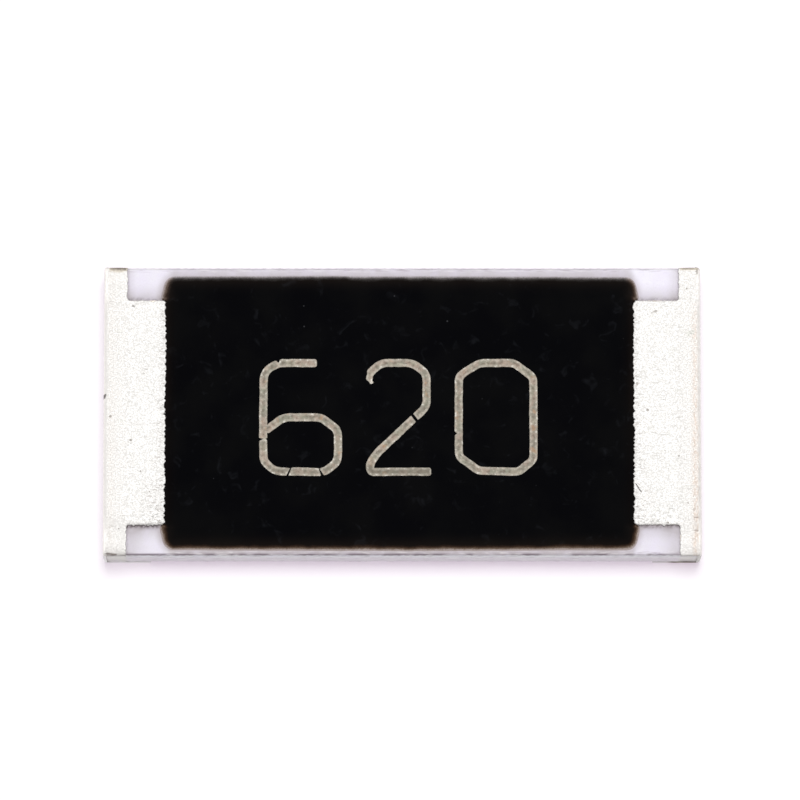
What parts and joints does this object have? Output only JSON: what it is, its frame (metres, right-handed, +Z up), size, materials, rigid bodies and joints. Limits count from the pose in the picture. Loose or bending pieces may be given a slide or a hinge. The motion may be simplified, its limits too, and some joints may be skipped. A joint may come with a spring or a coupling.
{
  "type": "thick-film chip resistor",
  "caption": "Flat rectangular surface-mount chip resistor: white ceramic slab, black coat with printed value digits, T-shaped tinned metal end on each short side.",
  "frame": {"origin": "middle of the footprint, on the surface that the tinned ends rest on", "axes": "+X along the chip from the left end (beside the 6) to the right end, +Y across it towards the top of the digits, +Z up out of the printed face"},
  "size_m": [0.0064, 0.0032, 0.0006],
  "materials": {
    "alumina": "matte white fired alumina with a faint lilac cast",
    "silver_paste": "matte fired silver",
    "ruthenium_film": "dark matte fired resistor paste",
    "glass_glaze": "thin greenish fired glass",
    "black_resin": "black printed protective coat, slightly satin",
    "marking_ink": "warm grey printed ink",
    "nichrome_film": "dull sputtered metal",
    "nickel": "matte plated nickel",
    "matte_tin": "bright matte plated tin with fine grain"
  },
  "bodies": {
    "root": {"ceramic_body": "alumina", "top_electrode_left": "silver_paste", "top_electrode_right": "silver_paste", "back_electrode_left": "silver_paste", "back_electrode_right": "silver_paste", "resistor_film": "ruthenium_film", "glass_coat": "glass_glaze", "black_coat": "black_resin", "edge_film_left": "nichrome_film", "edge_film_right": "nichrome_film", "nickel_layer_left": "nickel", "nickel_layer_right": "nickel", "tin_plating_left": "matte_tin", "tin_plating_right": "matte_tin", "digit_6": "marking_ink", "digit_2": "marking_ink", "digit_0": "marking_ink"}
  },
  "joints": []
}
